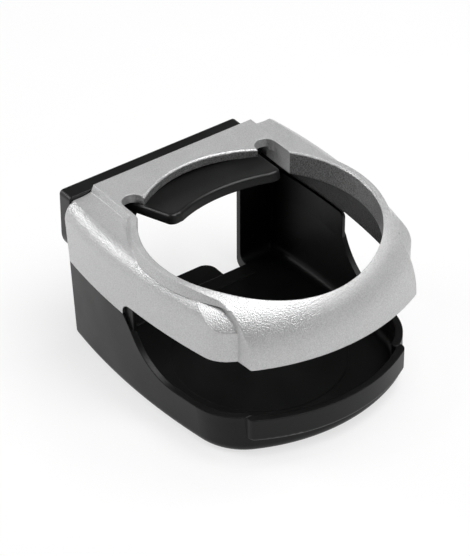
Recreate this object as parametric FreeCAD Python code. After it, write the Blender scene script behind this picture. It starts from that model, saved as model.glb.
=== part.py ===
import FreeCAD, Part
import math
import os

V = FreeCAD.Vector

# Frame: the can's axis is +Z, the base plane is z = 0, the louvres of the air vent are towards +Y,
# and the round nose of the holder points to -Y. All lengths are in millimetres.

# Overall
height = 53.5
back_y = 43.9
ring_radius = 36.0
ring_edge_round = 0.7

# Bezel, measured down from the top face
panel_half = 29.2
panel_thickness = 3.0
panel_bevel = 1.1
shoulder_drop = 2.0
shoulder_round = 6.0
rim_width = 2.2
rim_bevel = 0.9
ring_wall_depth = 7.9
ring_wall = 2.2
skirt_depth = 24.1
free_depth = 19.4
nose_depth = 18.7
joint_y = 13.2
joint_round = 4.4
bezel_wall = 1.9
lip_depth = 4.1
lip_inset = 0.95
lip_thickness = 1.2
lip_front_y = 9.4
lip_low_share = 0.7
lip_round = 1.5

# Notches beside the tongue
notch_x = 24.5
notch_half = 3.55
notch_y = 29.8

# Plan outlines: half widths at the back, at the widest place and at the front corner
widest_y = 12.0
top_back_half = 40.2
top_mid_half = 42.5
top_corner_half = 36.4
seam_back_half = 38.7
seam_mid_half = 40.6
seam_corner_half = 36.4
seam_corner_y = -26.6
seam_front_y = -38.6
base_back_half = 37.2
base_mid_half = 39.2
base_corner_half = 34.6
base_corner_y = -28.4
base_front_y = -39.5
basket_corner_half = 37.4
basket_corner_y = -23.5
corner_round = 10.0
base_corner_round = 18.0
base_round = 3.0

# Nose: a bow turned about an upright axis, with a full round on its upper edge
nose_half_back = 31.7
nose_back_y = -14.0
nose_half_front = 29.4
nose_end_y = -50.0
nose_bow = 67.0
nose_front_y = -43.4
nose_round = 18.0
nose_edge_round = 0.8
nose_blend = 8.0
panel_blend = 2.0

# Valley along the top of each shoulder
valley_radius = 16.0
valley_x = 34.6
valley_depth = 0.7
valley_end_y = 2.0

# Basket
basket_wall = 1.9
floor_thickness = 3.2
floor_fillet = 3.0
tray_rim_z = 13.3
wall_foot_y = -10.0
wall_curve_y = 3.6
wall_curve_share = 0.26
wall_top_y = 9.6
wall_top_share = 0.7
band_half = 28.8
band_front_y = -42.2
band_side_y = -34.0
band_height = 7.9
band_lift = 0.6
band_round = 2.5
band_floor = 2.0
disc_radius = 27.0
disc_depth = 0.3
sill_back_y = 38.7
sill_width = 5.0
sill_height = 0.4
window_half = 23.7
window_head_depth = 20.0
window_notch_half = 15.6
window_notch_depth = 14.6
window_round = 2.0

# Gripper flap and its hinge, pin centre measured from the back and from the top
pin_radius = 1.2
pin_back = 5.4
pin_depth = 6.8
hub_radius = 2.65
hub_half = 23.9
hub_gap = 1.0
ear_thickness = 2.4
ear_round = 2.45
running_gap = 0.05
flap_tilt = 11.5
flap_thickness = 3.1
flap_reach = 18.8
flap_tip_reach = 23.0
flap_tip_half = 20.2
flap_tip_width = 4.0
flap_tip_round = 2.2
flap_bead = 1.0
flap_stop_gap = 0.15
flap_side_gap = 0.3
spring_start = 13.9
spring_length = 6.2
spring_turns = 4
spring_wire = 0.3
spring_radius = 1.75
spring_slack = 0.4
spring_leg = 5.0
spring_seat_half = 1.4
spring_groove = 1.0

# Slide rail on the back and the vent bracket
rail_half = 18.0
rail_depth = 8.8
rail_neck = 3.0
rail_head = 4.6
rail_neck_depth = 1.5
rail_head_depth = 2.0
slide_gap = 0.2
bracket_left = -37.8
bracket_right = 27.4
bracket_drop = 1.5
bracket_height = 22.5
bracket_arch_half = 9.2
bracket_arch_height = 8.5
bracket_arch_round = 2.0
bracket_thickness = 5.8
bracket_top_round = 1.5
bracket_low_round = 7.0
bracket_edge_round = 0.8
slide_left = 1.0
slide_right = 11.6

# Vent hooks
hook_middle_x = -5.2
hook_spacing = 32.0
hook_depth = 19.0
hook_base_radius = 4.8
hook_base = 1.8
hook_stud_radius = 2.5
hook_stud_proud = 0.1
hook_reach = 11.8
hook_half_height = 4.0
hook_half_width = 3.5
jaw_thickness = 2.2
jaw_lead = 0.8
hook_edge_round = 0.8
pad_thickness = 0.5
pad_half = 3.2
pad_reach = 10.0
hook_screw_head = 3.3
hook_screw_head_height = 1.3
hook_screw_shank = 1.1
hook_screw_length = 5.0
driver_slot = 0.7
driver_depth = 0.5
counterbore = 3.8
counterbore_depth = 2.2

# Levelling foot in the floor and its retainer
foot_half = 15.8
foot_thickness = 1.0
foot_front_y = 7.5
foot_back_y = 48.1
foot_round = 4.0
foot_travel = 18.0
foot_gap = 0.1
foot_slot_half = 2.0
foot_peg_y = 30.0
retainer_half = 20.6
retainer_front_y = 3.0
retainer_back_y = 36.0
retainer_thickness = 1.0
retainer_screw_x = 18.0
retainer_screw_margin = 4.0
retainer_screw_radius = 0.9
retainer_screw_head = 1.7
retainer_screw_length = 2.4

# Screws through the back of the basket into the bezel
boss_x = 33.0
boss_depth = 9.0
boss_radius = 3.0
boss_length = 7.5
back_screw_radius = 1.3
back_screw_head = 2.6
back_screw_length = 8.0

seam_z = height - skirt_depth
wall_top_z = tray_rim_z + wall_top_share * (seam_z - tray_rim_z)
wall_curve_z = tray_rim_z + wall_curve_share * (seam_z - tray_rim_z)
lip_low_z = tray_rim_z + lip_low_share * (seam_z - tray_rim_z)
window_head = height - window_head_depth
window_notch_head = height - window_notch_depth
rail_z = height - rail_depth
bracket_top = height - bracket_drop
bracket_bottom = bracket_top - bracket_height
hook_z = height - hook_depth
boss_z = height - boss_depth
pin_y = back_y - pin_back
pin_z = height - pin_depth
back_inner_y = back_y - basket_wall
foot_low_z = retainer_thickness + foot_gap
hook_floor_y = back_y + slide_gap + bracket_thickness
far = 200.0


def point(x, y, z):
    return V(x, y, z)


def box(x0, x1, y0, y1, z0, z1):
    return Part.makeBox(x1 - x0, y1 - y0, z1 - z0, point(x0, y0, z0))


def cylinder(radius, length, start, direction):
    return Part.makeCylinder(radius, length, start, direction)


def cone(radius_start, radius_end, length, start, direction):
    return Part.makeCone(radius_start, radius_end, length, start, direction)


def edges_where(shape, test):
    return [edge for edge in shape.Edges if test(edge)]


def profile_prism(points, x0, x1):
    """Prism along X of a closed outline given as (y, z) pairs."""
    corners = [point(x0, y, z) for y, z in points]
    wire = Part.makePolygon(corners + corners[:1])
    return Part.Face(wire).extrude(point(x1 - x0, 0, 0))


def mirrored(shape):
    return shape.mirror(point(0, 0, 0), point(1, 0, 0))


def outline(back_half, mid_half, corner_half, corner_y, front_y, z, inset=0.0, back_inset=0.0):
    """Closed plan outline: straight back, bowed sides and a shallow bow at the front."""
    back = point(back_half - inset, back_y - back_inset, z)
    middle = point(mid_half - inset, widest_y, z)
    corner = point(corner_half - inset, corner_y + inset, z)
    front = point(0, front_y + inset, z)
    flip = [point(-p.x, p.y, p.z) for p in (back, middle, corner)]
    edges = [
        Part.Arc(back, middle, corner).toShape(),
        Part.Arc(corner, front, flip[2]).toShape(),
        Part.Arc(flip[2], flip[1], flip[0]).toShape(),
        Part.makeLine(flip[0], back),
    ]
    return Part.Wire(edges)


def seam_outline(z, inset=0.0, back_inset=0.0):
    return outline(seam_back_half, seam_mid_half, seam_corner_half, seam_corner_y, seam_front_y, z, inset, back_inset)


def basket_outline(z, inset=0.0, back_inset=0.0):
    """Plan outline of the basket at a height; its sides are flush with the bezel at the joint."""
    share = z / seam_z

    def mix(low, high):
        return low + share * (high - low)
    return outline(
        mix(base_back_half, seam_back_half), mix(base_mid_half, seam_mid_half),
        mix(base_corner_half, basket_corner_half), mix(base_corner_y, basket_corner_y),
        mix(base_front_y, seam_front_y), z, inset, back_inset)


def ruled_solid(low, high):
    return Part.makeLoft([low, high], True, True)


def round_corners(solid, radius):
    """Rounds the two upright edges at the front corners."""
    def upright_front(edge):
        a = edge.Vertexes[0].Point
        b = edge.Vertexes[-1].Point
        return abs(a.z - b.z) > 1.0 and max(a.y, b.y) < 0 and min(abs(a.x), abs(b.x)) > 1.0
    return solid.makeFillet(radius, edges_where(solid, upright_front))


def shell_volume(inset, z_low, z_high, back_inset=0.0):
    """The bezel's sides between two heights, drawn in by inset on every side but the top."""
    span = height - shoulder_drop - seam_z

    def level(z):
        share = (z - seam_z) / span
        return outline(
            seam_back_half + share * (top_back_half - seam_back_half),
            seam_mid_half + share * (top_mid_half - seam_mid_half),
            seam_corner_half + share * (top_corner_half - seam_corner_half),
            seam_corner_y, seam_front_y, z, inset, back_inset)
    solid = ruled_solid(level(z_low), level(z_high))
    return round_corners(solid, corner_round - inset)


def shoulder_body(inset=0.0, z_low=seam_z):
    """The bezel's sides, falling with the nose at the front; drawn in by inset, the hollow under them."""
    top = height - shoulder_drop - inset
    solid = shell_volume(inset, z_low, top, -1.0 if inset else 0.0)

    def top_side(edge):
        centre = edge.CenterOfMass
        return abs(centre.z - top) < 0.01 and centre.y < back_y - 0.5
    solid = solid.makeFillet(shoulder_round - inset, edges_where(solid, top_side))
    return solid.common(bow(shoulder_drop + inset))


def quad(half_back, half_front, y_back, y_front, z):
    corners = [
        point(-half_back, y_back, z), point(-half_front, y_front, z),
        point(half_front, y_front, z), point(half_back, y_back, z),
    ]
    return Part.makePolygon(corners + corners[:1])


def bow(inset=0.0):
    """Round slab whose front edge is the nose; the upper edge carries the full round."""
    rim = nose_bow - inset
    top = height - inset
    radius = nose_round - inset
    low = seam_z - 2.0
    bend = radius * math.sqrt(0.5)
    edges = [
        Part.makeLine(point(0, 0, low), point(rim, 0, low)),
        Part.makeLine(point(rim, 0, low), point(rim, 0, top - radius)),
        Part.Arc(
            point(rim, 0, top - radius),
            point(rim - radius + bend, 0, top - radius + bend),
            point(rim - radius, 0, top)).toShape(),
        Part.makeLine(point(rim - radius, 0, top), point(0, 0, top)),
        Part.makeLine(point(0, 0, top), point(0, 0, low)),
    ]
    solid = Part.Face(Part.Wire(edges)).revolve(point(0, 0, 0), point(0, 0, 1), 360)
    solid.translate(point(0, nose_front_y + nose_bow, 0))
    return solid


def nose_body(inset=0.0):
    """The bull-nosed bow at the front, between the two creases."""
    plan = quad(nose_half_back - inset, nose_half_front - inset, nose_back_y, nose_end_y, 0)
    prism = Part.Face(plan).extrude(point(0, 0, height - shoulder_drop + (0 if not inset else shoulder_drop)))
    solid = bow(inset).common(prism)
    if inset:
        return solid

    def crease(edge):
        centre = edge.CenterOfMass
        sloping = abs(edge.Vertexes[0].Z - edge.Vertexes[-1].Z) > 0.5
        return sloping and centre.y < -30 and abs(centre.x) > nose_half_front - 0.5
    return solid.makeFillet(nose_edge_round, edges_where(solid, crease))


def raised_body():
    """The raised panel, the rim round the opening and the top of the nose, with sloping sides."""
    depth = panel_thickness
    top = height
    run = panel_bevel * depth / shoulder_drop
    rise = depth - shoulder_drop
    panel = ruled_solid(
        quad(panel_half + run, panel_half + run, back_y, 0, top - depth),
        quad(panel_half, panel_half, back_y, 0, top))
    rim_run = rim_bevel * depth / shoulder_drop
    rim_top = ring_radius + rim_width
    rim = Part.makeCone(rim_top + rim_run, rim_top, depth, point(0, 0, top - depth))
    over = rim_bevel * rise / shoulder_drop
    nose = ruled_solid(
        quad(nose_half_back + over, nose_half_front + over, nose_back_y, nose_end_y, top - depth),
        quad(nose_half_back - rim_bevel, nose_half_front - rim_bevel, nose_back_y, nose_end_y, top))
    solid = panel.fuse(rim).fuse(nose).removeSplitter()

    def kink(edge, y_low, y_high):
        a = edge.Vertexes[0].Point
        b = edge.Vertexes[-1].Point
        middle = (a + b) * 0.5
        return abs(a.z - b.z) > depth - 0.1 and y_low < middle.y < y_high and abs(middle.x) > ring_radius / 2
    solid = solid.makeFillet(nose_blend, edges_where(solid, lambda e: kink(e, -ring_radius, -ring_radius / 4)))
    solid = solid.makeFillet(panel_blend, edges_where(solid, lambda e: kink(e, ring_radius / 8, ring_radius)))
    return solid.common(bow())


def valley(side):
    """Cutter for the shallow valley that fades out towards the front."""
    length = back_y + 20.0
    slope = valley_depth / (back_y - valley_end_y)
    z_end = height - shoulder_drop + valley_radius
    start = point(side * valley_x, valley_end_y, z_end)
    direction = point(0, 1, -slope)
    return cylinder(valley_radius, length, start, direction)


def opening_prism(grow, z_low, z_high, with_tongue):
    """The round opening with its two notches, grown sideways by grow."""
    span = z_high - z_low
    disc = Part.makeCylinder(ring_radius + grow, span, point(0, 0, z_low))
    shape = disc
    for side in (-1, 1):
        x = side * notch_x
        half = notch_half + grow
        slot = box(x - half, x + half, 0, notch_y, z_low, z_high)
        end = Part.makeCylinder(half, span, point(x, notch_y, z_low))
        shape = shape.fuse(slot).fuse(end)
    if with_tongue:
        inner = notch_x - notch_half - grow
        shape = shape.cut(box(-inner, inner, ring_radius / 2, back_y + 1, z_low - 1, z_high + 1).cut(
            Part.makeCylinder(ring_radius + grow, span + 4, point(0, 0, z_low - 2))))
    return shape


def opening_edge_cutter():
    """Cutter that rounds the upper edge of the opening; the nose falls away below it at the front."""
    r = ring_edge_round
    a = point(ring_radius, 0, height - r)
    b = point(ring_radius + r * (1 - math.sqrt(0.5)), 0, height - r + r * math.sqrt(0.5))
    c = point(ring_radius + r, 0, height)
    edges = [
        Part.Arc(a, b, c).toShape(),
        Part.makeLine(c, point(ring_radius + r, 0, height + 1)),
        Part.makeLine(point(ring_radius + r, 0, height + 1), point(0, 0, height + 1)),
        Part.makeLine(point(0, 0, height + 1), point(0, 0, height - r)),
        Part.makeLine(point(0, 0, height - r), a),
    ]
    return Part.Face(Part.Wire(edges)).revolve(point(0, 0, 0), point(0, 0, 1), 360)


def bezel_cavity():
    """Everything hollow inside the bezel, apart from the wall round the opening."""
    sides = shoulder_body(bezel_wall, seam_z - 1.0)
    panel = box(
        -panel_half + bezel_wall, panel_half - bezel_wall, 0, back_y + 1.0,
        seam_z, height - panel_thickness)
    nose = nose_body(bezel_wall)
    return sides.fuse(panel).fuse(nose)


def ring_wall_solid():
    """Block that leaves the wall round the opening and along the outer sides of the notches."""
    low = height - ring_wall_depth
    block = opening_prism(ring_wall, low, height, False)
    outer_side = notch_x + notch_half
    return block.cut(box(-outer_side, outer_side, 0, back_y, low - 1, height - panel_thickness))


def free_edge_cutter():
    """Raises the lower edge of the bezel in front of the joint with the basket."""
    cutter = profile_prism([
        (-60.0, height - nose_depth + 0.4), (-44.0, height - nose_depth), (joint_y, height - free_depth),
        (joint_y, seam_z - 5.0), (-60.0, seam_z - 5.0)], -60.0, 60.0)

    def top_back(edge):
        centre = edge.CenterOfMass
        return abs(centre.y - joint_y) < 0.01 and abs(centre.z - (height - free_depth)) < 0.01
    return cutter.makeFillet(joint_round, edges_where(cutter, top_back))


def lip_volume(inset, z_low, z_high):
    """The space inside the skirt along the joint, from a little in front of the joint's end."""
    space = Part.Face(seam_outline(z_low, inset, -1.0)).extrude(point(0, 0, z_high - z_low))
    band = box(-60, 60, lip_front_y, back_y, z_low, z_high)

    def front_top(edge):
        centre = edge.CenterOfMass
        return abs(centre.y - lip_front_y) < 0.01 and abs(centre.z - z_high) < 0.01
    return space.common(band.makeFillet(lip_round, edges_where(band, front_top)))


def bosses():
    shape = None
    for side in (-1, 1):
        start = point(side * boss_x, back_inner_y - boss_length, boss_z)
        post = cylinder(boss_radius, boss_length, start, point(0, 1, 0))
        rib = box(
            side * boss_x - boss_radius, side * boss_x + boss_radius, back_inner_y - boss_length, back_inner_y,
            boss_z, height - shoulder_drop - bezel_wall + 0.5)
        post = post.fuse(rib)
        shape = post if shape is None else shape.fuse(post)
    return shape


def screw_axis_cut(radius, length):
    shape = None
    for side in (-1, 1):
        hole = cylinder(radius, length, point(side * boss_x, back_y, boss_z), point(0, -1, 0))
        shape = hole if shape is None else shape.fuse(hole)
    return shape


def make_bezel():
    shoulders = shoulder_body().cut(valley(-1)).cut(valley(1))
    outer = shoulders.fuse(raised_body()).fuse(nose_body())
    cavity = bezel_cavity().cut(ring_wall_solid())
    solid = outer.cut(cavity)
    solid = solid.fuse(bosses())
    solid = solid.cut(opening_prism(0.0, seam_z - 5.0, height + 5.0, True))
    solid = solid.cut(opening_edge_cutter())
    solid = solid.cut(free_edge_cutter())
    solid = solid.cut(lip_volume(lip_inset, seam_z - 1.0, seam_z + lip_depth))
    solid = solid.cut(screw_axis_cut(back_screw_radius, back_screw_length))
    return solid.removeSplitter()


def basket_outer():
    solid = ruled_solid(basket_outline(0.0), basket_outline(seam_z))
    solid = round_corners(solid, base_corner_round)

    def lower(edge):
        centre = edge.CenterOfMass
        return abs(centre.z) < 0.01
    return solid.makeFillet(base_round, edges_where(solid, lower))


def basket_inner():
    low = basket_outline(floor_thickness, basket_wall, basket_wall)
    solid = ruled_solid(low, basket_outline(seam_z, basket_wall, basket_wall))
    solid = round_corners(solid, base_corner_round - basket_wall)

    def lower(edge):
        return abs(edge.CenterOfMass.z - floor_thickness) < 0.01
    return solid.makeFillet(floor_fillet, edges_where(solid, lower))


def band_prism(inset, low, high):
    """Bowed block in the plan of the front pad, drawn in by inset at the front and the sides."""
    half = band_half - inset
    side_y = band_side_y + inset
    left = point(-half, side_y, low)
    right = point(half, side_y, low)
    wire = Part.Wire([
        Part.Arc(left, point(0, band_front_y + inset, low), right).toShape(),
        Part.makeLine(right, point(half, band_side_y + 8.0, low)),
        Part.makeLine(point(half, band_side_y + 8.0, low), point(-half, band_side_y + 8.0, low)),
        Part.makeLine(point(-half, band_side_y + 8.0, low), left),
    ])
    solid = Part.Face(wire).extrude(point(0, 0, high - low))

    def side_front(edge):
        centre = edge.CenterOfMass
        return abs(abs(centre.x) - half) < 0.01 and abs(centre.y - side_y) < 0.01
    return solid.makeFillet(band_round - inset / 2, edges_where(solid, side_front))


def front_band():
    """The raised pad across the front of the tray."""
    top = tray_rim_z + band_lift
    low = top - band_height
    solid = band_prism(0.0, low, top)

    def lower_front(edge):
        centre = edge.CenterOfMass
        return abs(centre.z - low) < 0.01 and centre.y < band_side_y + 5.0
    return solid.makeFillet(1.2, edges_where(solid, lower_front))


def wall_cutter():
    """Takes the side walls down in one sweep from the bezel to the rim of the tray."""
    edges = [
        Part.makeLine(point(-60, joint_y, seam_z + 5.0), point(-60, joint_y, seam_z)),
        Part.makeLine(point(-60, joint_y, seam_z), point(-60, wall_top_y, wall_top_z)),
        Part.Arc(
            point(-60, wall_top_y, wall_top_z), point(-60, wall_curve_y, wall_curve_z),
            point(-60, wall_foot_y, tray_rim_z)).toShape(),
        Part.makeLine(point(-60, wall_foot_y, tray_rim_z), point(-60, band_side_y + 3.0, tray_rim_z)),
        Part.makeLine(
            point(-60, band_side_y + 3.0, tray_rim_z), point(-60, band_side_y + 2.0, tray_rim_z + band_lift)),
        Part.makeLine(point(-60, band_side_y + 2.0, tray_rim_z + band_lift), point(-60, -60, tray_rim_z + band_lift)),
        Part.makeLine(point(-60, -60, tray_rim_z + band_lift), point(-60, -60, seam_z + 5.0)),
        Part.makeLine(point(-60, -60, seam_z + 5.0), point(-60, joint_y, seam_z + 5.0)),
    ]
    return Part.Face(Part.Wire(edges)).extrude(point(120, 0, 0))


def window_cutter():
    """The opening in the rear wall, which also clears the floor behind the sill."""
    y1 = back_y + 1.0
    main = box(-window_half, window_half, sill_back_y, y1, -1.0, window_head)
    main = main.makeFillet(window_round, edges_where(
        main, lambda e: abs(e.CenterOfMass.z - window_head) < 0.01 and abs(e.CenterOfMass.x) > window_half - 0.01))
    notch = box(-window_notch_half, window_notch_half, sill_back_y, y1, window_head - 3.0, window_notch_head)
    notch = notch.makeFillet(window_round, edges_where(
        notch,
        lambda e: abs(e.CenterOfMass.z - window_notch_head) < 0.01 and abs(e.CenterOfMass.x) > window_notch_half - 0.01))
    return main.fuse(notch)


def slide_rail(gap, x0, x1):
    """The T-shaped rail on the back, or with a gap the groove that runs on it."""
    neck = box(
        x0, x1, back_y - 0.5 if not gap else back_y, back_y + rail_neck_depth + rail_head_depth / 2,
        rail_z - rail_neck - gap, rail_z + rail_neck + gap)
    head = box(
        x0, x1, back_y + rail_neck_depth - gap, back_y + rail_neck_depth + rail_head_depth + gap,
        rail_z - rail_head - gap, rail_z + rail_head + gap)
    return neck.fuse(head)


def hinge_ears():
    shape = None
    for side in (-1, 1):
        near = hub_half + hub_gap
        x0 = near if side > 0 else -near - ear_thickness
        round_end = cylinder(ear_round, ear_thickness, point(x0, pin_y, pin_z), point(1, 0, 0))
        web = box(x0, x0 + ear_thickness, pin_y, back_inner_y + 0.5, pin_z - ear_round, pin_z + ear_round)
        ear = round_end.fuse(web)
        seat_x = side * spring_start
        seat = box(
            seat_x - spring_seat_half, seat_x + spring_seat_half, pin_y + spring_radius + spring_wire,
            back_inner_y + 0.5, pin_z - spring_leg - 1.0, pin_z - spring_leg + 1.5)
        ear = ear.fuse(seat)
        shape = ear if shape is None else shape.fuse(ear)
    return shape


def retainer_screw_places():
    places = []
    for side in (-1, 1):
        for y in (retainer_front_y + retainer_screw_margin, retainer_back_y - retainer_screw_margin):
            places.append((side * retainer_screw_x, y))
    return places


def make_basket():
    solid = basket_outer().cut(basket_inner())
    upper = shoulder_body(bezel_wall, seam_z - 0.5)
    upper = upper.fuse(box(
        -panel_half + bezel_wall, panel_half - bezel_wall, back_inner_y - 1.0, back_y + 1.0,
        seam_z + 1.0, height - panel_thickness))
    upper = upper.common(box(-60, 60, back_inner_y, back_y, seam_z - 1.0, height)).removeSplitter()
    solid = solid.fuse(upper)
    band = front_band().cut(basket_inner())
    solid = solid.fuse(band)
    solid = solid.cut(band_prism(basket_wall, tray_rim_z + band_lift - band_height + band_floor, seam_z))
    solid = solid.cut(wall_cutter())
    lip = lip_volume(lip_inset, lip_low_z, seam_z + lip_depth)
    hollow = Part.Face(seam_outline(lip_low_z - 1.0, lip_inset + lip_thickness, basket_wall))
    lip = lip.cut(hollow.extrude(point(0, 0, lip_depth + 20.0)))
    solid = solid.fuse(lip)
    sill = box(
        -window_half, window_half, sill_back_y - sill_width, sill_back_y, floor_thickness / 2,
        floor_thickness + sill_height)
    solid = solid.fuse(sill)
    solid = solid.cut(window_cutter())
    solid = solid.cut(Part.makeCylinder(disc_radius, 5.0, point(0, 0, floor_thickness - disc_depth)).common(
        box(-60, 60, -60, 60, 0, floor_thickness)))
    solid = solid.fuse(slide_rail(0.0, -rail_half, rail_half))
    solid = solid.fuse(hinge_ears())
    solid = solid.cut(cylinder(pin_radius, 2 * far, point(-far, pin_y, pin_z), point(1, 0, 0)))
    channel = box(
        -foot_half - foot_gap, foot_half + foot_gap, foot_front_y - 1.0, back_y + 1.0,
        -1.0, foot_low_z + foot_thickness + foot_gap)
    solid = solid.cut(channel)
    solid = solid.cut(box(
        -retainer_half - foot_gap, retainer_half + foot_gap, retainer_front_y - foot_gap,
        retainer_back_y + foot_gap, -1.0, retainer_thickness))
    peg = Part.makeCylinder(
        foot_slot_half - 2 * foot_gap, foot_thickness + foot_gap, point(0, foot_peg_y, foot_low_z))
    solid = solid.fuse(peg)
    for x, y in retainer_screw_places():
        solid = solid.cut(Part.makeCylinder(retainer_screw_radius, retainer_screw_length, point(x, y, 0)))
    solid = solid.cut(screw_axis_cut(back_screw_radius, basket_wall + 1.0))
    for side in (-1, 1):
        sink = cone(
            back_screw_head, back_screw_radius, back_screw_head - back_screw_radius,
            point(side * boss_x, back_y, boss_z), point(0, -1, 0))
        solid = solid.cut(sink)
    return solid.removeSplitter()


def panel_relief():
    """What the flap has to stay clear of under the panel and the tongue."""
    low = height - panel_thickness - flap_stop_gap
    block = box(-40, 40, 5, back_y, low, height + 5)
    return block.cut(opening_prism(-flap_side_gap, low - 1, height + 6, True))


def make_gripper():
    low = pin_z + hub_radius - flap_thickness
    tip_y = pin_y - flap_tip_reach
    middle_y = pin_y - flap_reach
    tip_inner = flap_tip_half - flap_tip_width
    edge_y = middle_y - ring_radius + math.sqrt(ring_radius ** 2 - tip_inner ** 2)
    a = point(-hub_half, pin_y, low)
    b = point(-flap_tip_half, tip_y, low)
    c = point(-tip_inner, edge_y, low)
    mid = point(0, middle_y, low)
    flip = [point(-p.x, p.y, p.z) for p in (a, b, c)]
    wire = Part.Wire([
        Part.makeLine(a, b), Part.makeLine(b, c), Part.Arc(c, mid, flip[2]).toShape(),
        Part.makeLine(flip[2], flip[1]), Part.makeLine(flip[1], flip[0]), Part.makeLine(flip[0], a)])
    plate = Part.Face(wire).extrude(point(0, 0, flap_thickness))

    def tip_edge(edge):
        upright = abs(edge.Vertexes[0].Z - edge.Vertexes[-1].Z) > 1.0
        return upright and edge.CenterOfMass.y < pin_y - 10.0
    plate = plate.makeFillet(flap_tip_round, edges_where(plate, tip_edge))
    top = low + flap_thickness

    def front_top(edge):
        centre = edge.CenterOfMass
        return abs(centre.z - top) < 0.01 and centre.y < pin_y - 0.5
    plate = plate.makeFillet(flap_bead, edges_where(plate, front_top))
    solid = plate.fuse(cylinder(hub_radius, 2 * hub_half, point(-hub_half, pin_y, pin_z), point(1, 0, 0)))
    for side in (-1, 1):
        near = side * (spring_start - spring_slack)
        away = side * (spring_start + spring_length + spring_slack)
        x0 = min(near, away)
        x1 = max(near, away)
        front = pin_y - hub_radius - 0.6
        solid = solid.cut(box(
            x0, x1, front, pin_y + hub_radius + 1, pin_z - hub_radius - 1, pin_z + hub_radius + 1))
        leg_x = side * (spring_start + spring_length)
        solid = solid.cut(box(
            leg_x - spring_groove, leg_x + spring_groove, pin_y - spring_leg - 0.4, front + 0.1,
            low - 1, pin_z + spring_radius + spring_wire + running_gap))
    solid = solid.cut(cylinder(
        pin_radius + running_gap, 2 * far, point(-far, pin_y, pin_z), point(1, 0, 0)))
    solid.rotate(point(0, pin_y, pin_z), point(1, 0, 0), -flap_tilt)
    return solid.cut(panel_relief()).removeSplitter()


def make_pin():
    length = 2 * (hub_half + hub_gap + ear_thickness)
    return cylinder(pin_radius, length, point(-length / 2, pin_y, pin_z), point(1, 0, 0))


def make_spring(side):
    """Torsion spring on the pin: one leg lies in the flap's groove, the other on the rear wall."""
    angle = math.radians(90.0 - flap_tilt)
    turns = spring_turns + angle / (2 * math.pi)
    travel = spring_length - 2 * spring_wire
    pitch = travel / turns
    rise = pitch / (2 * math.pi)
    start = point(spring_radius, 0, 0)
    back = point(0, -spring_radius, -rise).normalize()
    end = point(spring_radius * math.cos(angle), spring_radius * math.sin(angle), travel)
    onward = point(-spring_radius * math.sin(angle), spring_radius * math.cos(angle), rise).normalize()
    ring = Part.Wire([Part.makeCircle(spring_wire, start, back * -1)])
    coil = Part.makeHelix(pitch, travel, spring_radius)
    solid = Part.Wire(coil.Edges).makePipeShell([ring], True, True)
    wall_leg = cylinder(spring_wire, spring_leg, start, back)
    flap_leg = cylinder(spring_wire, spring_leg, end, onward)
    solid = solid.fuse(wall_leg).fuse(flap_leg)
    turn_axes = FreeCAD.Matrix(0, 0, 1, 0, 1, 0, 0, 0, 0, 1, 0, 0, 0, 0, 0, 1)
    solid = placed(solid, turn_axes)
    solid.translate(point(spring_start + spring_wire, pin_y, pin_z))
    return solid if side > 0 else mirrored(solid)


def placed(shape, matrix):
    moved = shape.copy()
    moved.Placement = FreeCAD.Placement(matrix).multiply(moved.Placement)
    return moved


def make_bracket():
    y0 = back_y + slide_gap
    plate = box(bracket_left, bracket_right, y0, hook_floor_y, bracket_bottom, bracket_top)

    def corner(edge, z, x):
        centre = edge.CenterOfMass
        return abs(centre.z - z) < 0.01 and abs(centre.x - x) < 0.01
    plate = plate.makeFillet(bracket_low_round, edges_where(
        plate, lambda e: corner(e, bracket_bottom, bracket_left) or corner(e, bracket_bottom, bracket_right)))
    plate = plate.makeFillet(bracket_top_round, edges_where(
        plate, lambda e: corner(e, bracket_top, bracket_left) or corner(e, bracket_top, bracket_right)))
    plate = plate.makeFillet(bracket_edge_round, edges_where(
        plate, lambda e: abs(e.CenterOfMass.y - hook_floor_y) < 0.01))
    groove = slide_rail(slide_gap, -rail_half - slide_right - slide_gap, bracket_right + 1)
    plate = plate.cut(groove)
    arch = box(
        hook_middle_x - bracket_arch_half, hook_middle_x + bracket_arch_half, back_y, hook_floor_y + 1,
        bracket_bottom - 1, bracket_bottom + bracket_arch_height)
    arch_top = bracket_bottom + bracket_arch_height
    plate = plate.cut(arch.makeFillet(bracket_arch_round, edges_where(
        arch, lambda e: abs(e.CenterOfMass.z - arch_top) < 0.01 and abs(
            e.CenterOfMass.x - hook_middle_x) > bracket_arch_half - 0.01)))
    for x in hook_places():
        plate = plate.cut(cylinder(
            hook_stud_radius + running_gap, bracket_thickness + 2, point(x, y0 - 1, hook_z), point(0, 1, 0)))
        plate = plate.cut(cylinder(
            counterbore, counterbore_depth + 1, point(x, y0 - 1, hook_z), point(0, 1, 0)))
    return plate.removeSplitter()


def make_slide_stop():
    x0 = rail_half + slide_left + slide_gap
    profile = slide_rail(slide_gap, x0, bracket_right)
    return profile.common(box(x0, bracket_right, back_y + slide_gap, hook_floor_y, 0, height)).removeSplitter()


def hook_places():
    return (hook_middle_x - hook_spacing / 2, hook_middle_x + hook_spacing / 2)


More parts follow.
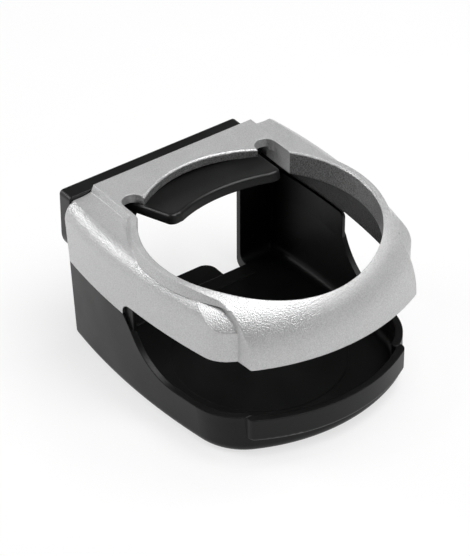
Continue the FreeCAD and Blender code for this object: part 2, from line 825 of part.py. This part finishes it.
def make_hook(x):
    y0 = hook_floor_y
    base = cylinder(hook_base_radius, hook_base, point(x, y0, hook_z), point(0, 1, 0))
    stud_length = bracket_thickness - counterbore_depth + hook_stud_proud
    stud = cylinder(hook_stud_radius, stud_length, point(x, y0 - stud_length, hook_z), point(0, 1, 0))
    y1 = y0 + hook_base
    y2 = y1 + hook_reach
    jaws = box(
        x - hook_half_width, x + hook_half_width, y1, y2,
        hook_z - hook_half_height, hook_z + hook_half_height)

    def tip(edge):
        centre = edge.CenterOfMass
        return abs(centre.y - y2) < 0.01 or abs(abs(centre.x - x) - hook_half_width) < 0.01 and (
            abs(abs(centre.z - hook_z) - hook_half_height) < 0.01)
    jaws = jaws.makeFillet(hook_edge_round, edges_where(jaws, tip))
    half_slot = hook_half_height - jaw_thickness
    slot = box(x - 10, x + 10, y1, y2 + 1, hook_z - half_slot, hook_z + half_slot)
    lead = profile_prism([
        (y2 - jaw_lead, hook_z - half_slot), (y2 + 1, hook_z - half_slot - jaw_lead - 0.5),
        (y2 + 1, hook_z + half_slot + jaw_lead + 0.5), (y2 - jaw_lead, hook_z + half_slot)], x - 10, x + 10)
    jaws = jaws.cut(slot).cut(lead)
    solid = base.fuse(stud).fuse(jaws)
    solid = solid.cut(cylinder(
        hook_screw_shank, hook_screw_length, point(x, y0 - stud_length, hook_z), point(0, 1, 0)))
    return solid.removeSplitter()


def make_pad(x):
    """Rubber liner, bent round the bottom of the hook's slot."""
    y1 = hook_floor_y + hook_base
    half_slot = hook_half_height - jaw_thickness
    outer = box(x - pad_half, x + pad_half, y1, y1 + pad_reach, hook_z - half_slot, hook_z + half_slot)
    inner = box(
        x - pad_half - 1, x + pad_half + 1, y1 + pad_thickness, y1 + pad_reach + 1,
        hook_z - half_slot + pad_thickness, hook_z + half_slot - pad_thickness)
    return outer.cut(inner)


def make_hook_screw(x):
    stud_end = hook_floor_y - bracket_thickness + counterbore_depth - hook_stud_proud
    head = cylinder(
        hook_screw_head, hook_screw_head_height, point(x, stud_end - hook_screw_head_height, hook_z), point(0, 1, 0))
    shank = cylinder(hook_screw_shank, hook_screw_length, point(x, stud_end, hook_z), point(0, 1, 0))
    face_y = stud_end - hook_screw_head_height
    return head.fuse(shank).cut(cross_recess(point(x, face_y, hook_z), hook_screw_head))


def cross_recess(centre, reach):
    """Cross recess in a screw head whose face looks along -Y."""
    arm = reach * 0.6
    half = driver_slot / 2
    upright = box(centre.x - half, centre.x + half, centre.y - 1, centre.y + driver_depth, centre.z - arm, centre.z + arm)
    level = box(centre.x - arm, centre.x + arm, centre.y - 1, centre.y + driver_depth, centre.z - half, centre.z + half)
    return upright.fuse(level)


def make_rear_screws():
    solids = []
    for side in (-1, 1):
        start = point(side * boss_x, back_y, boss_z)
        inward = point(0, -1, 0)
        head = cone(back_screw_head, back_screw_radius, back_screw_head - back_screw_radius, start, inward)
        screw = head.fuse(cylinder(back_screw_radius, back_screw_length, start, inward))
        arm = back_screw_head * 0.6
        half = driver_slot / 2
        y0 = back_y - driver_depth
        upright = box(start.x - half, start.x + half, y0, back_y + 1, start.z - arm, start.z + arm)
        level = box(start.x - arm, start.x + arm, y0, back_y + 1, start.z - half, start.z + half)
        solids.append(screw.cut(upright.fuse(level)))
    return Part.makeCompound(solids)


def make_foot():
    plate = box(
        -foot_half, foot_half, foot_front_y, foot_back_y, foot_low_z, foot_low_z + foot_thickness)

    def rear_corner(edge):
        centre = edge.CenterOfMass
        return abs(abs(centre.x) - foot_half) < 0.01 and abs(centre.y - foot_back_y) < 0.01
    plate = plate.makeFillet(foot_round, edges_where(plate, rear_corner))
    front = foot_peg_y - foot_travel
    z0 = foot_low_z - 1
    slot = box(-foot_slot_half, foot_slot_half, front, foot_peg_y, z0, z0 + 5)
    slot = slot.fuse(Part.makeCylinder(foot_slot_half, 5, point(0, front, z0)))
    slot = slot.fuse(Part.makeCylinder(foot_slot_half, 5, point(0, foot_peg_y, z0)))
    return plate.cut(slot).removeSplitter()


def make_retainer():
    plate = box(
        -retainer_half, retainer_half, retainer_front_y, retainer_back_y, 0.0, retainer_thickness)
    drop = retainer_screw_head - retainer_screw_radius
    for x, y in retainer_screw_places():
        plate = plate.cut(Part.makeCylinder(retainer_screw_radius, 5, point(x, y, -1)))
        plate = plate.cut(Part.makeCone(retainer_screw_head, retainer_screw_radius, drop, point(x, y, 0)))
    return plate


def make_retainer_screws():
    solids = []
    drop = retainer_screw_head - retainer_screw_radius
    for x, y in retainer_screw_places():
        head = Part.makeCone(retainer_screw_head, retainer_screw_radius, drop, point(x, y, 0))
        screw = head.fuse(Part.makeCylinder(retainer_screw_radius, retainer_screw_length, point(x, y, 0)))
        half = driver_slot / 2
        reach = retainer_screw_head * 0.6
        solids.append(screw.cut(box(x - reach, x + reach, y - half, y + half, -1, driver_depth)))
    return Part.makeCompound(solids)


def main():
    os.makedirs("parts", exist_ok=True)
    left, right = hook_places()
    parts = {
        "bezel": make_bezel(),
        "basket": make_basket(),
        "gripper_flap": make_gripper(),
        "gripper_pin": make_pin(),
        "gripper_spring_left": make_spring(-1),
        "gripper_spring_right": make_spring(1),
        "vent_bracket": make_bracket(),
        "slide_stop": make_slide_stop(),
        "hook_left": make_hook(left),
        "hook_right": make_hook(right),
        "hook_pad_left": make_pad(left),
        "hook_pad_right": make_pad(right),
        "hook_screw_left": make_hook_screw(left),
        "hook_screw_right": make_hook_screw(right),
        "rear_screws": make_rear_screws(),
        "levelling_foot": make_foot(),
        "foot_retainer": make_retainer(),
        "retainer_screws": make_retainer_screws(),
    }
    for name, shape in parts.items():
        print(name, shape.ShapeType, len(shape.Solids), shape.isValid(), round(shape.Volume, 1), len(shape.Faces))
        shape.exportStep("parts/%s.step" % name)


main()
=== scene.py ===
import math
import bpy
from mathutils import Matrix, Vector

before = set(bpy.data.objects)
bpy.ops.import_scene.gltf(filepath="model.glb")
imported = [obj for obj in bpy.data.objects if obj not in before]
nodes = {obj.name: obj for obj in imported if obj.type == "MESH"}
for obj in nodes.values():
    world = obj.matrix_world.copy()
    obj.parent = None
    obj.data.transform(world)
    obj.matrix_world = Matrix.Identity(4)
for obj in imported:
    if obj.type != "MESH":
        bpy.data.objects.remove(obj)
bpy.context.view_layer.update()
scene = bpy.context.scene

# Lengths are in metres, angles in degrees, and a noise's scale is in waves a metre.

# Where the silver moulding turns darker and loses its metal look: on the ring's wall and on surfaces inside that
# face the axis.
OPENING_RADIUS = 0.036
WALL_RADII = (OPENING_RADIUS + 0.0002, OPENING_RADIUS + 0.0005)   # the ring's wall ends, its rounded edge begins
WALL_FACING = (-0.98, -0.86)     # cosine between the normal and the outward direction, on the ring's wall
HOLLOW_FACING = (-0.25, -0.15)   # the same, where a surface stops facing the axis
HOLLOW_HEIGHTS = (0.0440, 0.0462)   # darker grey below, silver above
NOISE_SPAN = (0.3, 0.7)   # most of a noise lies in it

# Lamps: place, sides and watts. All of them aim at the middle of the holder.
HOLDER_MIDDLE = (0.0, 0.0, 0.03)
LAMPS = {
    "top_light": ((0.18, -0.15, 0.80), (0.8, 0.65), 8.1),
    "back_light": ((-0.50, 0.62, 0.50), (0.45, 0.3), 2.9),
    "left_light": ((-0.80, 0.10, 0.20), (0.5, 0.25), 0.15),
}
SKY_STRENGTH = 0.05
CEILING_BEGINS = (0.05, 0.25)   # height of a ray's direction, from the white walls to the dark ceiling

FLOOR_HALF = 3.0
FLOOR_DROP = 0.0001
FLOOR_GLOW_SHARE = 0.7   # of what the camera and reflections see, so that shadows stay

# The photo's camera, fitted to the opening's ellipses and the panel's straight edges.
AIM_POINT = Vector((-0.02269, -0.01822, 0.0535))
CAMERA_DISTANCE = 0.8115
AZIMUTH, ELEVATION, ROLL = -36.35, 37.14, -0.15
FOCAL_PIXELS = 2850.0
PHOTO_HEIGHT_PIXELS = 556.0
SENSOR_MM = 36.0


def grey(value):
    return (value, value, value)


def new_material(name):
    material = bpy.data.materials.new(name)
    material.use_nodes = True
    tree = material.node_tree
    tree.nodes.clear()
    output = tree.nodes.new("ShaderNodeOutputMaterial")
    shader = tree.nodes.new("ShaderNodeBsdfPrincipled")
    tree.links.new(shader.outputs["BSDF"], output.inputs["Surface"])
    return material, tree, shader


def object_coords(tree):
    return tree.nodes.new("ShaderNodeTexCoord").outputs["Object"]


def components(tree, vector):
    node = tree.nodes.new("ShaderNodeSeparateXYZ")
    tree.links.new(vector, node.inputs["Vector"])
    return node.outputs["X"], node.outputs["Y"], node.outputs["Z"]


def noise(tree, coords, scale, detail=2.0, roughness=0.5):
    node = tree.nodes.new("ShaderNodeTexNoise")
    node.inputs["Scale"].default_value = scale
    node.inputs["Detail"].default_value = detail
    node.inputs["Roughness"].default_value = roughness
    tree.links.new(coords, node.inputs["Vector"])
    return node.outputs["Fac"]


def remap(tree, value, span, result):
    """Carries the span of a value over to the result's span, clamped at both ends."""
    node = tree.nodes.new("ShaderNodeMapRange")
    node.inputs["From Min"].default_value, node.inputs["From Max"].default_value = span
    node.inputs["To Min"].default_value, node.inputs["To Max"].default_value = result
    tree.links.new(value, node.inputs["Value"])
    return node.outputs["Result"]


def math_node(tree, operation, a, b):
    node = tree.nodes.new("ShaderNodeMath")
    node.operation = operation
    for socket, value in zip(node.inputs, (a, b)):
        if isinstance(value, (int, float)):
            socket.default_value = value
        else:
            tree.links.new(value, socket)
    return node.outputs["Value"]


def vector_math(tree, operation, output, *vectors):
    node = tree.nodes.new("ShaderNodeVectorMath")
    node.operation = operation
    for socket, vector in zip(node.inputs, vectors):
        tree.links.new(vector, socket)
    return node.outputs[output]


def blend(tree, a, a_share, b, b_share):
    """Weighted sum of two values."""
    return math_node(
        tree, "ADD", math_node(tree, "MULTIPLY", a, a_share), math_node(tree, "MULTIPLY", b, b_share))


def mix_colour(tree, factor, first, second):
    """Mixes two colours, each a plain colour or a node's output."""
    node = tree.nodes.new("ShaderNodeMix")
    node.data_type = "RGBA"
    tree.links.new(factor, node.inputs["Factor"])
    colour_sockets = [socket for socket in node.inputs if socket.type == "RGBA"]
    for socket, value in zip(colour_sockets, (first, second)):
        if isinstance(value, tuple):
            socket.default_value = (*value, 1.0)
        else:
            tree.links.new(value, socket)
    return next(socket for socket in node.outputs if socket.type == "RGBA")


def mix_shader(tree, factor, first, second):
    node = tree.nodes.new("ShaderNodeMixShader")
    tree.links.new(factor, node.inputs["Fac"])
    tree.links.new(first, node.inputs[1])
    tree.links.new(second, node.inputs[2])
    return node.outputs["Shader"]


def bump(tree, height, strength, distance, normal=None):
    node = tree.nodes.new("ShaderNodeBump")
    node.inputs["Strength"].default_value = strength
    node.inputs["Distance"].default_value = distance
    tree.links.new(height, node.inputs["Height"])
    if normal is not None:
        tree.links.new(normal, node.inputs["Normal"])
    return node.outputs["Normal"]


def soft_edges(tree, radius):
    """Normals of an edge broken by the given radius."""
    node = tree.nodes.new("ShaderNodeBevel")
    node.samples = 6
    node.inputs["Radius"].default_value = radius
    return node.outputs["Normal"]


def background_rays(tree):
    """One for rays that show the background, directly or in metal and glass, and zero for rays that light."""
    path = tree.nodes.new("ShaderNodeLightPath")
    reflected = math_node(tree, "MAXIMUM", path.outputs["Is Glossy Ray"], path.outputs["Is Transmission Ray"])
    return math_node(tree, "MAXIMUM", path.outputs["Is Camera Ray"], reflected)


def silver_paint():
    """Silver lacquer with flakes and slight orange peel, turning to darker, non-metallic greys on the ring's wall
    and on surfaces inside that face the axis.
    """
    material, tree, shader = new_material("silver_paint")
    coords = object_coords(tree)
    flakes = noise(tree, coords, scale=2600.0, detail=1.0)
    cloud = noise(tree, coords, scale=160.0)
    peel = noise(tree, coords, scale=900.0)
    shade = blend(tree, remap(tree, flakes, NOISE_SPAN, (0.0, 1.0)), 0.85, cloud, 0.15)
    paint = mix_colour(tree, shade, (0.50, 0.50, 0.505), grey(0.66))
    # Darker greys, not metallic, for the ring's wall and for the surfaces inside that face the axis below it.
    wall_grey = mix_colour(tree, shade, grey(0.07), grey(0.34))
    hollow_grey = mix_colour(tree, shade, grey(0.006), grey(0.05))

    x, y, z = components(tree, coords)
    flat = tree.nodes.new("ShaderNodeCombineXYZ")
    tree.links.new(x, flat.inputs["X"])
    tree.links.new(y, flat.inputs["Y"])
    from_axis = flat.outputs["Vector"]
    normal = tree.nodes.new("ShaderNodeNewGeometry").outputs["Normal"]
    facing = vector_math(
        tree, "DOT_PRODUCT", "Value", normal, vector_math(tree, "NORMALIZE", "Vector", from_axis))
    radius = vector_math(tree, "LENGTH", "Value", from_axis)
    wall = math_node(
        tree, "MULTIPLY",
        remap(tree, radius, WALL_RADII, (1.0, 0.0)), remap(tree, facing, WALL_FACING, (1.0, 0.0)))
    hollow = math_node(
        tree, "MULTIPLY",
        remap(tree, facing, HOLLOW_FACING, (1.0, 0.0)), remap(tree, z, HOLLOW_HEIGHTS, (1.0, 0.0)))
    silver_share = math_node(tree, "SUBTRACT", 1.0, math_node(tree, "MAXIMUM", hollow, wall))

    skin = mix_colour(tree, wall, paint, wall_grey)
    tree.links.new(mix_colour(tree, hollow, skin, hollow_grey), shader.inputs["Base Color"])
    tree.links.new(math_node(tree, "MULTIPLY", silver_share, 0.42), shader.inputs["Metallic"])
    tree.links.new(remap(tree, cloud, NOISE_SPAN, (0.28, 0.34)), shader.inputs["Roughness"])
    broken = soft_edges(tree, radius=0.00045)
    fine = bump(tree, flakes, strength=1.0, distance=0.00016, normal=broken)
    tree.links.new(bump(tree, peel, strength=0.15, distance=0.00006, normal=fine), shader.inputs["Normal"])
    return material


def black_plastic(name, dark, light, roughness, grain, grain_strength, gloss):
    """Moulded black plastic with an eroded grain and faint flow marks, and a painted highlight that makes convex
    edges lighter.
    """
    material, tree, shader = new_material(name)
    coords = object_coords(tree)
    texture = noise(tree, coords, scale=grain)
    flow = noise(tree, coords, scale=60.0, detail=4.0, roughness=0.6)
    pointiness = tree.nodes.new("ShaderNodeNewGeometry").outputs["Pointiness"]
    # Flow marks vary the tone at random; the pointiness term makes convex edges lighter, a painted edge highlight.
    shade = blend(tree, flow, 0.6, remap(tree, pointiness, (0.52, 0.60), (0.0, 1.0)), 0.5)
    tree.links.new(mix_colour(tree, shade, dark, light), shader.inputs["Base Color"])
    tree.links.new(remap(tree, flow, NOISE_SPAN, roughness), shader.inputs["Roughness"])
    shader.inputs["Specular IOR Level"].default_value = gloss
    broken = soft_edges(tree, radius=0.0005)
    tree.links.new(
        bump(tree, texture, strength=grain_strength, distance=0.00005, normal=broken), shader.inputs["Normal"])
    return material


def steel():
    """Zinc-plated steel with a fine brushed grain."""
    material, tree, shader = new_material("zinc_steel")
    brushed = noise(tree, object_coords(tree), scale=3000.0, detail=3.0)
    tree.links.new(
        mix_colour(tree, brushed, (0.42, 0.42, 0.43), (0.66, 0.66, 0.67)), shader.inputs["Base Color"])
    shader.inputs["Metallic"].default_value = 1.0
    tree.links.new(remap(tree, brushed, NOISE_SPAN, (0.25, 0.42)), shader.inputs["Roughness"])
    tree.links.new(bump(tree, brushed, strength=0.1, distance=0.00003), shader.inputs["Normal"])
    return material


def rubber():
    """Matt black rubber with a little dust in its pores."""
    material, tree, shader = new_material("black_rubber")
    dust = noise(tree, object_coords(tree), scale=900.0, detail=4.0)
    tree.links.new(
        mix_colour(tree, dust, grey(0.018), (0.045, 0.045, 0.044)), shader.inputs["Base Color"])
    tree.links.new(remap(tree, dust, NOISE_SPAN, (0.65, 0.85)), shader.inputs["Roughness"])
    tree.links.new(bump(tree, dust, strength=0.2, distance=0.00006), shader.inputs["Normal"])
    return material


materials = {
    "silver": silver_paint(),
    "basket": black_plastic(
        "black_basket", dark=grey(0.001), light=grey(0.005), roughness=(0.34, 0.42),
        grain=2600.0, grain_strength=0.35, gloss=0.24),
    "satin": black_plastic(
        "black_satin", dark=grey(0.002), light=grey(0.006), roughness=(0.36, 0.44),
        grain=3400.0, grain_strength=0.22, gloss=0.42),
    "steel": steel(),
    "rubber": rubber(),
}
finish = {
    "bezel": "silver",
    "basket": "basket",
    "levelling_foot": "basket",
    "foot_retainer": "basket",
    "gripper_flap": "satin",
    "vent_bracket": "satin",
    "slide_stop": "satin",
    "hook_left": "satin",
    "hook_right": "satin",
    "hook_pad_left": "rubber",
    "hook_pad_right": "rubber",
}
# The pin, the springs and the screws are the steel pieces.
for name, node in nodes.items():
    node.data.materials.clear()
    node.data.materials.append(materials[finish.get(name, "steel")])


def area_light(name, place, sides, watts):
    data = bpy.data.lights.new(name, "AREA")
    data.shape = "RECTANGLE"
    data.size, data.size_y = sides
    data.energy = watts
    light = bpy.data.objects.new(name, data)
    scene.collection.objects.link(light)
    light.location = place
    direction = Vector(HOLDER_MIDDLE) - Vector(place)
    light.rotation_euler = direction.to_track_quat("-Z", "Y").to_euler()


def studio_world():
    """Faint sky that lights the holder. What is seen or reflected are white walls under a dark ceiling."""
    world = bpy.data.worlds.new("studio")
    scene.world = world
    world.use_nodes = True
    tree = world.node_tree
    tree.nodes.clear()
    output = tree.nodes.new("ShaderNodeOutputWorld")
    sky = tree.nodes.new("ShaderNodeBackground")
    backdrop = tree.nodes.new("ShaderNodeBackground")
    for background, strength in ((sky, SKY_STRENGTH), (backdrop, 1.0)):
        background.inputs["Color"].default_value = (*grey(1.0), 1.0)
        background.inputs["Strength"].default_value = strength
    ray_height = components(tree, tree.nodes.new("ShaderNodeTexCoord").outputs["Generated"])[2]
    walls = remap(tree, ray_height, CEILING_BEGINS, (1.0, 0.0))
    shown = math_node(tree, "MULTIPLY", background_rays(tree), walls)
    surface = mix_shader(tree, shown, sky.outputs["Background"], backdrop.outputs["Background"])
    tree.links.new(surface, output.inputs["Surface"])


def floor():
    """Pale table top that the holder stands on, with its shadow."""
    mesh = bpy.data.meshes.new("floor")
    corners = [(x * FLOOR_HALF, y * FLOOR_HALF, -FLOOR_DROP) for x, y in ((-1, -1), (1, -1), (1, 1), (-1, 1))]
    mesh.from_pydata(corners, [], [(0, 1, 2, 3)])
    plane = bpy.data.objects.new("floor", mesh)
    scene.collection.objects.link(plane)
    material, tree, shader = new_material("floor")
    grain = noise(tree, object_coords(tree), scale=30.0)
    tree.links.new(mix_colour(tree, grain, grey(0.90), grey(0.94)), shader.inputs["Base Color"])
    shader.inputs["Roughness"].default_value = 0.9
    glow = tree.nodes.new("ShaderNodeEmission")
    glow.inputs["Color"].default_value = (*grey(1.0), 1.0)
    shown = math_node(tree, "MULTIPLY", background_rays(tree), FLOOR_GLOW_SHARE)
    surface = next(node for node in tree.nodes if node.type == "OUTPUT_MATERIAL").inputs["Surface"]
    tree.links.new(mix_shader(tree, shown, shader.outputs["BSDF"], glow.outputs["Emission"]), surface)
    mesh.materials.append(material)


def photo_camera():
    """Camera at the photo's view, turned by the azimuth and elevation round the aim point and rolled."""
    data = bpy.data.cameras.new("camera")
    camera = bpy.data.objects.new("camera", data)
    scene.collection.objects.link(camera)
    azimuth, elevation, roll = (math.radians(angle) for angle in (AZIMUTH, ELEVATION, ROLL))
    back = Vector((
        math.sin(azimuth) * math.cos(elevation), -math.cos(azimuth) * math.cos(elevation), math.sin(elevation)))
    right = Vector((math.cos(azimuth), math.sin(azimuth), 0.0))
    up = back.cross(right)
    right, up = (
        math.cos(roll) * right + math.sin(roll) * up,
        math.cos(roll) * up - math.sin(roll) * right)
    place = AIM_POINT + back * CAMERA_DISTANCE
    camera.matrix_world = Matrix((
        (right.x, up.x, back.x, place.x),
        (right.y, up.y, back.y, place.y),
        (right.z, up.z, back.z, place.z),
        (0, 0, 0, 1)))
    data.sensor_width = SENSOR_MM
    data.lens = FOCAL_PIXELS * SENSOR_MM / PHOTO_HEIGHT_PIXELS
    data.clip_start = 0.01
    data.clip_end = 20.0
    scene.camera = camera


for name, (place, sides, watts) in LAMPS.items():
    area_light(name, place, sides, watts)
studio_world()
floor()
photo_camera()
scene.view_settings.view_transform = "Standard"
